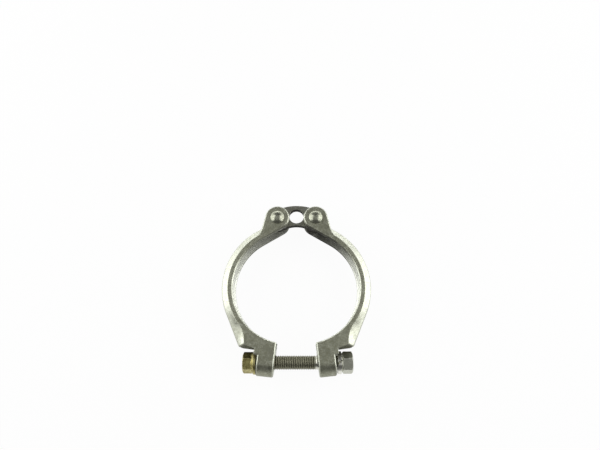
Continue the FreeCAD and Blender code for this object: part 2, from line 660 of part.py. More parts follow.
def clamp_bolt(name):
    """Bolt along its own Z: round shank, thin collar and a bevelled hexagon head."""
    body = new_body(name)
    radius, tip = dim("bolt_radius"), dim("bolt_tip")
    start, end = dim("bolt_head_start"), dim("bolt_head_end")
    collar, flats = dim("bolt_collar"), dim("bolt_flats")
    lead = dim("bolt_lead")
    collar_radius = 0.48 * flats
    sketch = new_sketch(body, "ShankSection", "XZ_Plane")
    corners = [at(0, tip), at(radius - lead, tip), at(radius, tip + lead), at(radius, start),
               at(collar_radius, start), at(collar_radius, start + collar),
               at(0, start + collar)]
    texts = [("0", "#bolt_tip"), ("#bolt_radius - #bolt_lead", "#bolt_tip"),
             ("#bolt_radius", "#bolt_tip + #bolt_lead"), ("#bolt_radius", "#bolt_head_start"),
             ("0.48 * #bolt_flats", "#bolt_head_start"),
             ("0.48 * #bolt_flats", "#bolt_head_start + #bolt_collar"),
             ("0", "#bolt_head_start + #bolt_collar")]
    outline(sketch, corners, texts)
    volume = expect_change(0, turned(body, "Revolution", "Shank", sketch), 1)
    sketch = new_sketch(body, "HeadOutline", offset="#bolt_head_start + #bolt_collar")
    hexagon(sketch, "#bolt_flats", flats, "#bolt_turn", dim("bolt_turn"))
    head = pad(body, "Head", sketch, "#bolt_head_end - #bolt_head_start - #bolt_collar",
               both_sides=False)
    volume = expect_change(volume, head, 1)
    outer = cone_trim(body, "OuterBevel", "#bolt_head_end", end, "#bolt_flats", flats, True)
    volume = expect_change(volume, outer, -1)
    inner = cone_trim(body, "InnerBevel", "#bolt_head_start + #bolt_collar", start + collar,
                      "#bolt_flats", flats, False)
    expect_change(volume, inner, -1)
    return body


def spring_washer(name):
    """Flat ring along its own Z with a slanted split."""
    body = new_body(name)
    thick = dim("washer_thickness")
    sketch = new_sketch(body, "WasherOutline")
    circle(sketch, "outer", "0", "0", "#washer_radius", at(0, 0), dim("washer_radius"))
    circle(sketch, "bore", "0", "0", "#washer_bore", at(0, 0), dim("washer_bore"))
    volume = expect_change(0, pad(body, "Ring", sketch, "#washer_thickness",
                                  both_sides=False), 1)
    gap, lean = dim("washer_gap"), dim("washer_lean")
    sketch = new_sketch(body, "SplitSection", "XZ_Plane")
    corners = [at(-gap / 2 - lean, -thick / 2), at(gap / 2 - lean, -thick / 2),
               at(gap / 2 + lean, thick * 1.5), at(-gap / 2 + lean, thick * 1.5)]
    texts = [("-#washer_gap / 2 - #washer_lean", "-#washer_thickness / 2"),
             ("#washer_gap / 2 - #washer_lean", "-#washer_thickness / 2"),
             ("#washer_gap / 2 + #washer_lean", "#washer_thickness * 1.5"),
             ("-#washer_gap / 2 + #washer_lean", "#washer_thickness * 1.5")]
    outline(sketch, corners, texts)
    split = pocket(body, "Split", sketch, both_sides=False)
    expect_change(volume, split, -1)
    return body


def lock_nut(name):
    """Flanged nut along its own Z: hexagon at the outer end, cone and flange at the seat."""
    body = new_body(name)
    seat, end = dim("nut_seat"), dim("nut_end")
    flats, flange_radius = dim("nut_flats"), dim("nut_flange_radius")
    flange, cone, rim = dim("nut_flange"), dim("nut_cone"), dim("nut_rim")
    foot = seat - flange - cone
    sketch = new_sketch(body, "FlangeSection", "XZ_Plane")
    corners = [at(0, seat), at(0, foot), at(flats / 2, foot),
               at(flange_radius - rim, seat - flange),
               at(flange_radius, seat - flange + rim), at(flange_radius, seat)]
    texts = [("0", "#nut_seat"), ("0", "#nut_seat - #nut_flange - #nut_cone"),
             ("#nut_flats / 2", "#nut_seat - #nut_flange - #nut_cone"),
             ("#nut_flange_radius - #nut_rim", "#nut_seat - #nut_flange"),
             ("#nut_flange_radius", "#nut_seat - #nut_flange + #nut_rim"),
             ("#nut_flange_radius", "#nut_seat")]
    outline(sketch, corners, texts)
    volume = expect_change(0, turned(body, "Revolution", "Flange", sketch), 1)
    sketch = new_sketch(body, "NutOutline", offset="#nut_end")
    hexagon(sketch, "#nut_flats", flats, "#nut_turn", dim("nut_turn"))
    hex_pad = pad(body, "Hexagon", sketch, "#nut_seat - #nut_end - #nut_flange",
                  both_sides=False)
    volume = expect_change(volume, hex_pad, 1)
    bevel = cone_trim(body, "EndBevel", "#nut_end", end, "#nut_flats", flats, False)
    volume = expect_change(volume, bevel, -1)
    sketch = new_sketch(body, "BoreSketch")
    circle(sketch, "bore", "0", "0", "#nut_bore", at(0, 0), dim("nut_bore"))
    expect_change(volume, pocket(body, "Bore", sketch), -1)
    return body


# ---------------------------------------------------------------- assembly

def swing_open(body, left):
    """Swing a half open about its pin; the left half is the same casting turned over."""
    swing = dim("open_angle")
    pin = at(dim("pin_across"), dim("pin_up"))
    opened = FreeCAD.Placement(at(0, 0), FreeCAD.Rotation(at(0, 0, 1), swing), pin)
    if left:
        over = FreeCAD.Placement(at(0, 0), FreeCAD.Rotation(at(0, 1, 0), 180))
        opened = over.multiply(opened)
    body.Placement = opened


def lay_along_bolt(body, shift=0.0):
    """Turn a piece drawn along Z so that it runs along X, on the open clamp's bolt axis."""
    swing = math.radians(dim("open_angle"))
    middle = (dim("lug_inner") + dim("seat_x")) / 2 - dim("pin_across")
    drop = dim("pin_up") + dim("bolt_down")
    axis_y = dim("pin_up") + middle * math.sin(swing) - drop * math.cos(swing)
    along_x = FreeCAD.Rotation(at(0, 1, 0), at(0, 0, 1), at(1, 0, 0), "ZXY")
    body.Placement = FreeCAD.Placement(at(shift, axis_y), along_x)


def build():
    """Make every piece and put it in the open clamp."""
    for name, left in (("right_clamp_half", False), ("left_clamp_half", True)):
        swing_open(clamp_half(name), left)
    for name, left in (("right_hinge_pin", False), ("left_hinge_pin", True)):
        side = -1 if left else 1
        hinge_pin(name).Placement.Base = at(side * dim("pin_across"), dim("pin_up"))
    hinge_link("hinge_link")
    lay_along_bolt(clamp_bolt("clamp_bolt"))
    lay_along_bolt(spring_washer("spring_washer"), dim("washer_start"))
    lay_along_bolt(lock_nut("lock_nut"))
    doc.recompute()


def export():
    """Check every object, then write each body to its own file."""
    for item in doc.Objects:
        if "Invalid" in item.State or "Error" in item.State:
            raise RuntimeError("%s failed: %s" % (item.Name, item.State))
    os.makedirs("parts", exist_ok=True)
    for body in doc.findObjects("PartDesign::Body"):
        shape = body.Shape
        if shape.isNull() or not shape.isValid() or len(shape.Solids) != 1:
            raise RuntimeError("%s is not one sound solid" % body.Label)
        shape.exportStep("parts/%s.step" % body.Label)
        print("%-18s %9.2f mm3" % (body.Label, shape.Volume))


fill_sheet()
build()
export()
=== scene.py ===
# %% [markdown]
# # A hinged v band clamp
# This lesson dresses a small clamp that holds two flanged pipes together: two cast
# half rings on a riveted link, drawn shut by one bolt. The shapes come ready from the
# construction model, so most of the work is in surfaces: cast, rolled, riveted, turned
# and plated metal, each with its own grain and wear, and with painted highlights and
# painted shade. Only the bolt is built again here, because its thread is too fine for
# the construction model.

# %% Load the clamp
import math

import bmesh
import bpy
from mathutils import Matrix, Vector


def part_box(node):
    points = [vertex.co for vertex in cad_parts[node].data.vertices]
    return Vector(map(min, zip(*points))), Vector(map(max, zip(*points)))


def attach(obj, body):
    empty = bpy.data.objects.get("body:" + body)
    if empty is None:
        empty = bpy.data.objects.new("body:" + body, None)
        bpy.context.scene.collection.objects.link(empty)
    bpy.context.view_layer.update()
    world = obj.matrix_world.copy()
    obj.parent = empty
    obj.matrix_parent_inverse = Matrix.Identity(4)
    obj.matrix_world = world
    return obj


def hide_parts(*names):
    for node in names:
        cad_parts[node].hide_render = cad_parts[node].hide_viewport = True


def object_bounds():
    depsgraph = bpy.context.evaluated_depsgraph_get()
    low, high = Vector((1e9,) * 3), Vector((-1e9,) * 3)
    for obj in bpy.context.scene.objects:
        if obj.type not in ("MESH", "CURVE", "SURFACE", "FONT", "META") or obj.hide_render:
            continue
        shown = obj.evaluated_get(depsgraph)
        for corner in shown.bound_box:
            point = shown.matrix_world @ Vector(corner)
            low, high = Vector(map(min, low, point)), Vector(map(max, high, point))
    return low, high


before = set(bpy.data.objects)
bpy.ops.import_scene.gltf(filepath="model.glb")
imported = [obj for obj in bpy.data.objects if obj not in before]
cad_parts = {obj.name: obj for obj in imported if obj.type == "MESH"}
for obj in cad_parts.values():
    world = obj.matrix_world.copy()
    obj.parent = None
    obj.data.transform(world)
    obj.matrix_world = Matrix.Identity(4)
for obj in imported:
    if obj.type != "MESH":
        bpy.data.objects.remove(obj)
cad_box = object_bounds()
MM = 0.001
print("pieces:", ", ".join(sorted(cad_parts)))

# %% [markdown]
# ## The camera
# The clamp lies flat and is seen from almost straight above, tipped twenty degrees
# towards its bolt, as a small part is laid out for a catalogue. A short lens from twenty
# centimetres away would swell the near side of a larger thing, but a clamp is thin, so
# it only opens the inner walls of the ring a little. A Track To constraint could aim the
# camera, but then the tilt would be hidden in the place of a target. Here the place and
# the angles are set directly, so the tilt is easy to read.

# %% Set up the camera
CAMERA_PLACE = Vector((1.979, -40.475, 200.138)) * MM
CAMERA_TILT = (math.radians(19.5918), math.radians(0.0971), math.radians(-0.0628))
LENS_MM, SENSOR_MM = 25.54, 36.0
NEAREST_SEEN = 0.01
camera_data = bpy.data.cameras.new("catalogue camera")
camera_data.lens = LENS_MM
camera_data.sensor_width = SENSOR_MM
camera_data.clip_start = NEAREST_SEEN
camera = bpy.data.objects.new("catalogue_camera", camera_data)
camera.location = CAMERA_PLACE
camera.rotation_euler = CAMERA_TILT
bpy.context.collection.objects.link(camera)
bpy.context.scene.camera = camera
bpy.context.scene.view_settings.view_transform = "Standard"
print("camera stands", round(CAMERA_PLACE.length, 3), "m from the clamp")

# %% [markdown]
# ## Wiring a finish
# Every finish below is a small web of nodes. Blender wants each node made, set and wired
# by hand, which hides the idea under typing. The webs could be drawn in the shader editor
# instead, but then they could not be read as text. A few helpers keep one thought on one
# line: an input takes either a plain value or the output of another node, and the helper
# finds out which. The Mix node holds a set of inputs for each kind of value under the
# same names, so its inputs are fed by number.

# %% Helpers for node wiring
def feed(tree, socket, value):
    """Gives an input a plain value, or wires it to another node's output."""
    if isinstance(value, bpy.types.NodeSocket):
        tree.links.new(value, socket)
    else:
        socket.default_value = value


def add(tree, kind, inputs, **settings):
    """Adds a node, sets its options, and feeds its inputs by name or by number."""
    made = tree.nodes.new("ShaderNode" + kind)
    for name, value in settings.items():
        setattr(made, name, value)
    for name, value in inputs.items():
        feed(tree, made.inputs[name], value)
    return made


def maths(tree, operation, *values):
    """One sum on numbers, kept between 0 and 1."""
    inputs = dict(enumerate(values))
    return add(tree, "Math", inputs, operation=operation, use_clamp=True).outputs[0]


def between(tree, value, low, high, start=0.0, end=1.0):
    """Stretches a value that runs from low to high so that it runs from start to end."""
    inputs = {"Value": value, "From Min": low, "From Max": high, "To Min": start, "To Max": end}
    return add(tree, "MapRange", inputs, interpolation_type="SMOOTHSTEP").outputs[0]


def mixed(tree, share, first, second):
    """Two colours laid over each other: share 0 shows the first and 1 the second."""
    return add(tree, "Mix", {0: share, 6: first, 7: second}, data_type="RGBA").outputs[2]


def merged(tree, share, first, second):
    """The same for two numbers."""
    return add(tree, "Mix", {0: share, 2: first, 3: second}, data_type="FLOAT").outputs[0]


print("helpers ready")

# %% [markdown]
# ## The table
# A small metal part is lit by what it mirrors, so the table matters as much as the
# lamps. It is a plain white sheet. White paper alone would come out grey, because no
# lamp should be turned up only to bleach it, so the sheet also glows for the rays that
# look at it or mirror it. A share of plain paper stays under the glow and keeps the
# clamp's soft shadow, which holds the part down on the table.

# %% Lay the table
PAPER_WHITE = (0.92, 0.92, 0.92, 1.0)
GLOW_SHARE = 0.95
TABLE_HALF_SIDE = 2.0


def table_paper():
    """White paper that glows where it is looked at, and keeps a soft shadow."""
    material = bpy.data.materials.new("white table paper")
    material.use_nodes = True
    tree = material.node_tree
    tree.nodes.clear()
    rays = add(tree, "LightPath", {})
    seen = maths(tree, "MAXIMUM", rays.outputs["Is Camera Ray"], rays.outputs["Is Glossy Ray"])
    seen = maths(tree, "MAXIMUM", seen, rays.outputs["Is Transmission Ray"])
    paper = add(tree, "BsdfDiffuse", {"Color": PAPER_WHITE})
    glow = add(tree, "Emission", {"Color": (1.0, 1.0, 1.0, 1.0), "Strength": 1.0})
    share = maths(tree, "MULTIPLY", seen, GLOW_SHARE)
    both = add(tree, "MixShader", {0: share, 1: paper.outputs[0], 2: glow.outputs[0]})
    add(tree, "OutputMaterial", {"Surface": both.outputs[0]})
    return material


def lay_table(half_side, height):
    """A square sheet, level with the lowest point of the rivet heads."""
    sheet = [(-half_side, -half_side, height), (half_side, -half_side, height),
             (half_side, half_side, height), (-half_side, half_side, height)]
    mesh = bpy.data.meshes.new("table")
    mesh.from_pydata(sheet, [], [(0, 1, 2, 3)])
    mesh.materials.append(table_paper())
    table = bpy.data.objects.new("table", mesh)
    bpy.context.collection.objects.link(table)


table_height = cad_box[0][2]
lay_table(TABLE_HALF_SIDE, table_height)
print("table lies at", round(table_height / MM, 2), "mm")

# %% [markdown]
# ## The light
# Polished metal shows its lamps, so the shape of the light is part of the finish. Two
# large soft boxes stand left and right: they run as bright bands down both flanks of the
# ring and along every edge that leans sideways. Overhead and in front the room stays
# dim, which leaves the flat faces a quiet grey and gives the rivet heads their dark
# caps. A low strip far behind the hinge carries the bright band on round the top of the
# ring. The boxes are area lamps, since glowing cards would do the same with more noise.

# %% Hang the soft boxes
def soft_box(name, place, width, height, brightness):
    """A flat lamp aimed at the clamp; brightness is what a mirror of it would show."""
    lamp = bpy.data.lights.new(name, "AREA")
    lamp.shape = "RECTANGLE"
    lamp.size = width
    lamp.size_y = height
    lamp.energy = brightness * math.pi * width * height
    holder = bpy.data.objects.new(name, lamp)
    holder.location = place
    holder.rotation_euler = (-Vector(place)).to_track_quat("-Z", "Y").to_euler()
    bpy.context.collection.objects.link(holder)


SIDE_BRIGHTNESS = 2.2
STRIP_BRIGHTNESS = 2.6
soft_box("left_soft_box", (-0.42, 0.12, 0.25), 0.54, 0.54, SIDE_BRIGHTNESS)
soft_box("right_soft_box", (0.42, 0.09, 0.25), 0.60, 0.54, SIDE_BRIGHTNESS)
soft_box("back_strip", (0.0, 0.60, 0.065), 1.10, 0.11, STRIP_BRIGHTNESS)
print("two soft boxes and a strip hung")

# %% [markdown]
# The room itself is what everything else on the clamp mirrors. A picture of a studio
# could be wrapped round the scene, but it only has to be bright or dim by height, and a
# ramp over height says that in one line. It is bright by the table, gets darker up to
# four fifths of the way, and is a mid grey straight above, where the flat faces look.

# %% Paint the room
ROOM = [(0.0, 0.72), (0.12, 0.44), (0.26, 0.22), (0.5, 0.13), (0.84, 0.06), (0.92, 0.40),
        (1.0, 0.39)]
ROOM_BLUE = 0.985


def paint_room(stops):
    """The room's brightness by height: 0 is level with the table, 1 straight above."""
    world = bpy.data.worlds.new("studio room")
    world.use_nodes = True
    tree = world.node_tree
    tree.nodes.clear()
    way = add(tree, "TexCoord", {})
    height = add(tree, "SeparateXYZ", {0: way.outputs["Generated"]})
    ramp = add(tree, "ValToRGB", {0: height.outputs[2]})
    marks = ramp.color_ramp.elements
    marks[0].position, marks[-1].position = stops[0][0], stops[-1][0]
    for position, _ in stops[1:-1]:
        marks.new(position)
    for mark, (_, bright) in zip(marks, stops):
        mark.color = (bright, bright, bright * ROOM_BLUE, 1.0)
    sky = add(tree, "Background", {"Color": ramp.outputs[0], "Strength": 1.0})
    add(tree, "OutputWorld", {"Surface": sky.outputs[0]})
    bpy.context.scene.world = world


paint_room(ROOM)
print("room painted in", len(ROOM), "steps")

# %% [markdown]
# ## What every worn metal shares
# Three things happen to all the pieces, so they get helpers of their own. Grain is noise
# of a known size, given in metres, because a surface looks wrong at once if its grain
# is twice too coarse. Edges are painted paler, as wear and as a painted highlight: a Bevel
# node rounds the normal near an edge, and where that rounded normal leaves the true one
# there is an edge. Corners are painted darker as painted shade, and an Ambient Occlusion
# node knows where those are. All of it could be painted by hand on unwrapped pieces, but
# nodes need no unwrapping, and they follow the shape when it changes. Noise is read in
# object coordinates, so the pattern stays on the piece when the clamp is opened.

# %% Helpers for worn metal
def grain(tree, size, detail=3.0, stretch=(1.0, 1.0, 1.0), warp=0.0):
    """Noise whose spots are about size metres across; stretch draws it out along an axis."""
    spot = add(tree, "TexCoord", {}).outputs["Object"]
    if stretch != (1.0, 1.0, 1.0):
        shares = tuple(1.0 / length for length in stretch)
        spot = add(tree, "Mapping", {"Vector": spot, "Scale": shares}).outputs[0]
    inputs = {"Vector": spot, "Scale": 1.0 / size, "Detail": detail, "Distortion": warp}
    return add(tree, "TexNoise", inputs).outputs["Fac"]


def rounded(tree, radius):
    """The surface direction, turned gently over every edge as a tumbled edge is."""
    return add(tree, "Bevel", {"Radius": radius}, samples=4).outputs[0]


def edge_band(tree, soft_normal):
    """1 on an edge, 0 on open surface."""
    true_normal = add(tree, "NewGeometry", {}).outputs["Normal"]
    likeness = add(tree, "VectorMath", {0: soft_normal, 1: true_normal},
                   operation="DOT_PRODUCT").outputs["Value"]
    return between(tree, likeness, 0.995, 0.90)


def corners(tree, reach):
    """1 deep in a corner or slot, 0 in the open; reach is how far the painted shade reaches out.
    """
    shade = add(tree, "AmbientOcclusion", {"Distance": reach}, samples=6).outputs["AO"]
    return between(tree, shade, 0.80, 0.25)


def parts_of(tree, output):
    """The three numbers of the place or of the direction of a point on the piece."""
    return add(tree, "SeparateXYZ", {0: add(tree, "TexCoord", {}).outputs[output]}).outputs


print("worn metal helpers ready")

# %% Helpers that finish a metal
def drifting(tree, noise, least, most):
    """A value that drifts between two limits with a noise."""
    return between(tree, noise, 0.3, 0.7, least, most)


def tool_marks(tree, out, marks_a_metre, detail):
    """Noise read by distance from an axis alone, so that it runs round in rings."""
    inputs = {"W": out, "Scale": marks_a_metre, "Detail": detail}
    return add(tree, "TexNoise", inputs, noise_dimensions="1D").outputs["Fac"]


def metal(name, roughness):
    """A new metal and its node tree; what is the same all over sits on the shader itself."""
    material = bpy.data.materials.new(name)
    material.use_nodes = True
    shader = material.node_tree.nodes["Principled BSDF"]
    shader.inputs["Metallic"].default_value = 1.0
    shader.inputs["Roughness"].default_value = roughness
    shader.inputs["Specular IOR Level"].default_value = 0.2
    return material, material.node_tree, shader


def shaded_in_corners(tree, shader, skin, reach, share, shade_colour):
    """Colours a metal with its skin, and paints shade into its corners with a share of a dark
    colour.
    """
    corner_shade = maths(tree, "MULTIPLY", corners(tree, reach), share)
    feed(tree, shader.inputs["Base Color"], mixed(tree, corner_shade, skin, shade_colour))


def dulled(tree, shader, shade_sheet, rough):
    """Where the painted shade lies, a dark sheet covers the metal: no longer metallic, and rough.
    """
    feed(tree, shader.inputs["Metallic"], maths(tree, "SUBTRACT", 1.0, shade_sheet))
    feed(tree, shader.inputs["Roughness"], merged(tree, shade_sheet, rough, 0.72))


def bumped(tree, height, distance, normal, strength=1.0):
    """Turns a noise into fine relief over a surface direction."""
    inputs = {"Height": height, "Distance": distance, "Normal": normal, "Strength": strength}
    return add(tree, "Bump", inputs).outputs[0]


def finish_nodes(material, *names):
    """Lays a finish on pieces whose shape is already right."""
    for name in names:
        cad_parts[name].material_slots[0].material = material
    print(material.name, "on", ", ".join(names))


print("finishing helpers ready")

# %% [markdown]
# ## Cast stainless steel
# The half rings and their eyes are investment castings, tumbled with stone chips after
# casting. That leaves a satin skin: a pebble grain under half a millimetre across, cloudy
# patches a few millimetres wide, and rounded edges, worn and painted bright as a painted
# highlight. Only the groove that grips the flanges is turned, so its walls are paler and
# carry fine rings. A second material could cover the groove, but its border would be a
# hard line. Instead a place is told from its distance to the ring's centre, and one
# material fades into the other.

# %% Places and colours of the casting
CAST_PALE = (0.49, 0.505, 0.405, 1.0)
CAST_GREY = (0.36, 0.372, 0.29, 1.0)
CAST_SPECK = (0.27, 0.268, 0.185, 1.0)
# Paler colour for wear on edges and nicks, and for the painted highlight on sloping flanks and
# edges.
CAST_WEAR_AND_HIGHLIGHT = (0.66, 0.68, 0.585, 1.0)
# Dark colour of the painted shade.
CAST_SHADE_SHEET = (0.030, 0.028, 0.020, 1.0)
TURNED_PALE = (0.87, 0.89, 0.80, 1.0)
TURNED_GREY = (0.77, 0.785, 0.70, 1.0)
RING_CENTRE = (3.469 * MM, -0.798 * MM, 0.0)
GROOVE_RADIUS = 29.3 * MM
GROOVE_HALF_WIDTH = 4.3 * MM
GROOVE_FADE = (0.3 * MM, 0.1 * MM)


def from_ring_centre(tree):
    """How far a point lies from the centre of its own half ring; both halves mirror."""
    x, y, _ = parts_of(tree, "Object")
    mirrored = add(tree, "CombineXYZ", {0: maths(tree, "ABSOLUTE", x), 1: y}).outputs[0]
    arm = add(tree, "VectorMath", {0: mirrored, 1: RING_CENTRE}, operation="SUBTRACT").outputs[0]
    return add(tree, "VectorMath", {0: arm}, operation="LENGTH").outputs["Value"]


def in_groove(tree, out):
    """1 on the turned flanks of the groove, 0 on the cast outside."""
    far, near = GROOVE_FADE
    beside = maths(tree, "ABSOLUTE", parts_of(tree, "Object")[2])
    deep = between(tree, out, GROOVE_RADIUS + far, GROOVE_RADIUS + near)
    inside = between(tree, beside, GROOVE_HALF_WIDTH + far, GROOVE_HALF_WIDTH + near)
    return maths(tree, "MULTIPLY", deep, inside)


print("groove radius", round(GROOVE_RADIUS / MM, 1), "mm")

# %% [markdown]
# Painted light chooses its places by shape. The sloping flanks of the ring are painted
# paler in patches, as a painted highlight. The side of the band that looks towards the
# bolt is painted with a brown-black sheet, as painted shade: strongest up by the hinge, in
# the groove beside the hinge and towards the right, with more of it under the two
# shoulders beside the bolt and the same dark colour in every corner. These could be
# painted on unwrapped pieces, but the place of a point and the way its surface looks
# already tell where they belong.

# %% Painted highlight on the slopes and painted shade
SHOULDER = 17.6 * MM
# How strong the painted shade is under the shoulders and in the corners.
SHOULDER_SHADE = 0.6
CORNER_SHADE = 0.75
CORNER_REACH = 1.4 * MM


def sloping(tree):
    """1 on sloping flanks, half on upright walls, 0 on flat faces and the bolt's side."""
    upright = maths(tree, "ABSOLUTE", parts_of(tree, "Normal")[2])
    off_bolt_side = between(tree, parts_of(tree, "Normal")[1], -0.15, -0.50, 1.0, 0.0)
    slope = maths(tree, "MULTIPLY", between(tree, upright, 0.94, 0.82), off_bolt_side)
    return maths(tree, "MULTIPLY", slope, between(tree, upright, 0.05, 0.35, 0.55, 1.0))


def shade_place(tree, right):
    """Where the painted shade lies: more towards the hinge and the right, and some under the
    shoulders.
    """
    across, up, _ = parts_of(tree, "Object")
    hinge_side = maths(tree, "MULTIPLY", between(tree, up, -20.0 * MM, 14.0 * MM, 0.2, 1.0), right)
    shoulder = between(tree, maths(tree, "ABSOLUTE", across), SHOULDER - 0.4 * MM, SHOULDER)
    shoulder = maths(tree, "MULTIPLY", shoulder, between(tree, up, -24.0 * MM, -27.0 * MM))
    return maths(tree, "MAXIMUM", hinge_side, maths(tree, "MULTIPLY", shoulder, SHOULDER_SHADE))


def casting_shade(tree, clouds, groove):
    """Painted shade, a dark sheet: on what looks at the bolt, over the groove beside the hinge,
    and in corners.
    """
    facing = between(tree, parts_of(tree, "Normal")[1], -0.20, -0.75)
    across, up, _ = parts_of(tree, "Object")
    right = between(tree, across, -16.0 * MM, 6.0 * MM, 0.62, 1.0)
    hinge_groove_shade = between(tree, up, 6.0 * MM, 27.0 * MM, 0.0, 0.9)
    hinge_groove_shade = maths(tree, "MULTIPLY", maths(tree, "MULTIPLY", groove, hinge_groove_shade), right)
    shade_sheet = maths(tree, "MAXIMUM", maths(tree, "MULTIPLY", facing, shade_place(tree, right)), hinge_groove_shade)
    shade_sheet = maths(tree, "MULTIPLY", shade_sheet, between(tree, clouds, 0.25, 0.5, 0.75, 1.0))
    corner_shade = maths(tree, "MULTIPLY", corners(tree, CORNER_REACH), CORNER_SHADE)
    return maths(tree, "MAXIMUM", shade_sheet, corner_shade)


# How far the painted corner shade reaches.
print("dirt reaches", round(CORNER_REACH / MM, 1), "mm out of the corners")

# %% Finish of the casting
PEBBLE = 0.42 * MM
PEBBLE_HEIGHT = 0.046 * MM
CLOUD = 3.6 * MM
CLOUD_HEIGHT = 0.05 * MM
SCUFF = 1.1 * MM
NICK = 0.9 * MM
CAST_EDGE = 0.42 * MM
TURNING_MARKS = 1700.0


def casting_skin(tree, pebbles, clouds):
    """Satin grey in clouds, with darker specks in the grain."""
    skin = mixed(tree, between(tree, clouds, 0.36, 0.62), CAST_GREY, CAST_PALE)
    return mixed(tree, between(tree, pebbles, 0.36, 0.64, 0.0, 0.75), skin, CAST_SPECK)


def turned_skin(tree, out):
    """Pale rings that a lathe tool leaves in the groove."""
    marks = tool_marks(tree, out, TURNING_MARKS, 2.0)
    return mixed(tree, between(tree, marks, 0.40, 0.62), TURNED_GREY, TURNED_PALE)


def wear_and_edge_highlight(tree, soft):
    """Edges, worn and painted as a highlight, and a scatter of long nicks."""
    nicks = between(tree, grain(tree, NICK, 2.0, stretch=(2.6, 1.0, 1.0)), 0.62, 0.74)
    edges = maths(tree, "MULTIPLY", edge_band(tree, soft), 0.75)
    return maths(tree, "MAXIMUM", edges, maths(tree, "MULTIPLY", nicks, 0.55))


def cast_steel():
    """The skin is built up in layers: casting, painted highlight on the slopes, turned groove,
    wear with painted edge highlight, painted shade.
    """
    material, tree, shader = metal("tumbled cast steel", 0.38)
    soft = rounded(tree, CAST_EDGE)
    pebbles = grain(tree, PEBBLE, 2.0)
    clouds = grain(tree, CLOUD, 4.0, warp=0.6)
    out = from_ring_centre(tree)
    groove = in_groove(tree, out)
    slopes = sloping(tree)
    highlight_patches = between(tree, grain(tree, SCUFF, 5.0, warp=0.8), 0.30, 0.60, 0.55, 0.95)
    skin = casting_skin(tree, pebbles, clouds)
    # Painted highlight: the sloping flanks are painted paler in patches.
    skin = mixed(tree, maths(tree, "MULTIPLY", slopes, highlight_patches), skin, CAST_WEAR_AND_HIGHLIGHT)
    skin = mixed(tree, groove, skin, turned_skin(tree, out))
    # Edges worn and painted paler as a highlight, and bright nicks.
    skin = mixed(tree, wear_and_edge_highlight(tree, soft), skin, CAST_WEAR_AND_HIGHLIGHT)
    # Painted shade: a dark rough sheet where the casting looks at the bolt, by the hinge and in
    # corners.
    shade_sheet = casting_shade(tree, clouds, groove)
    feed(tree, shader.inputs["Base Color"], mixed(tree, shade_sheet, skin, CAST_SHADE_SHEET))
    rough = drifting(tree, grain(tree, 1.4 * MM, 4.0), 0.30, 0.44)
    dulled(tree, shader, shade_sheet, merged(tree, groove, rough, 0.24))
    cast = maths(tree, "SUBTRACT", 1.0, maths(tree, "MAXIMUM", groove, slopes))
    pebbly = between(tree, cast, 0.0, 1.0, 0.15, 1.0)
    relief = bumped(tree, pebbles, PEBBLE_HEIGHT, soft, pebbly)
    relief = bumped(tree, clouds, CLOUD_HEIGHT, relief, 0.4)
    feed(tree, shader.inputs["Normal"], relief)
    return material


finish_nodes(cast_steel(), "right_clamp_half", "left_clamp_half")

# %% [markdown]
# ## Rivets of the hinge
# Each hinge pin is a soft steel rivet. Its head was spun down by a smooth forming tool,
# which left it nearly a mirror, with faint rings round the middle. The rings could be cut
# into the mesh, but they are only a few thousandths of a millimetre high. So they are
# noise read by distance from the pin's own axis, and run truly round each head.

# %% Rivet steel
RIVET_BRIGHT = (0.42, 0.43, 0.345, 1.0)
RIVET_DULL = (0.28, 0.29, 0.225, 1.0)
# Dark colour of the painted shade round the foot of each head.
RIVET_SHADE = (0.06, 0.055, 0.04, 1.0)
RIVET_EDGE = 0.12 * MM
FORMING_MARKS = 5200.0


def away_from(tree, centre, axis):
    """How far a point lies from a line along the named axis, in metres."""
    spot = add(tree, "TexCoord", {}).outputs["Object"]
    across = tuple(0.0 if letter == axis else 1.0 for letter in "XYZ")
    arm = add(tree, "VectorMath", {0: spot, 1: tuple(centre)}, operation="SUBTRACT").outputs[0]
    arm = add(tree, "VectorMath", {0: arm, 1: across}, operation="MULTIPLY").outputs[0]
    return add(tree, "VectorMath", {0: arm}, operation="LENGTH").outputs["Value"]


def middle(name):
    """The centre of a piece's own box."""
    low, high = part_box(name)
    return (low + high) / 2


def rivet_steel(name):
    """One material for each pin, because each has an axis of its own."""
    material, tree, shader = metal("spun " + name.replace("_", " "), 0.18)
    rings = tool_marks(tree, away_from(tree, middle(name), "Z"), FORMING_MARKS, 2.0)
    smudge = grain(tree, 0.9 * MM, 3.0)
    skin = mixed(tree, between(tree, smudge, 0.35, 0.7), RIVET_BRIGHT, RIVET_DULL)
    # Painted shade in corners, as round the foot of the head.
    shaded_in_corners(tree, shader, skin, 0.7 * MM, 0.9, RIVET_SHADE)
    feed(tree, shader.inputs["Roughness"], drifting(tree, smudge, 0.26, 0.38))
    feed(tree, shader.inputs["Normal"], bumped(tree, rings, 0.004 * MM, rounded(tree, RIVET_EDGE)))
    return material


for pin in ("right_hinge_pin", "left_hinge_pin"):
    finish_nodes(rivet_steel(pin), pin)

# %% [markdown]
# ## The link plate
# The link between the two eyes is cut from rolled plate. Its faces keep the rolling
# grain along its length, and the edge that looks at the bolt carries the same painted
# shade, a dark sheet, as the ring's inner side. A brushed look is often made with an
# anisotropic shader. Here it is
# one fine noise drawn out fourteen times along the plate, which also gives the grain
# real scratches.

# %% Rolled link steel
LINK_PALE = (0.32, 0.325, 0.28, 1.0)
LINK_GREY = (0.25, 0.25, 0.205, 1.0)
ROLLED = 0.16 * MM


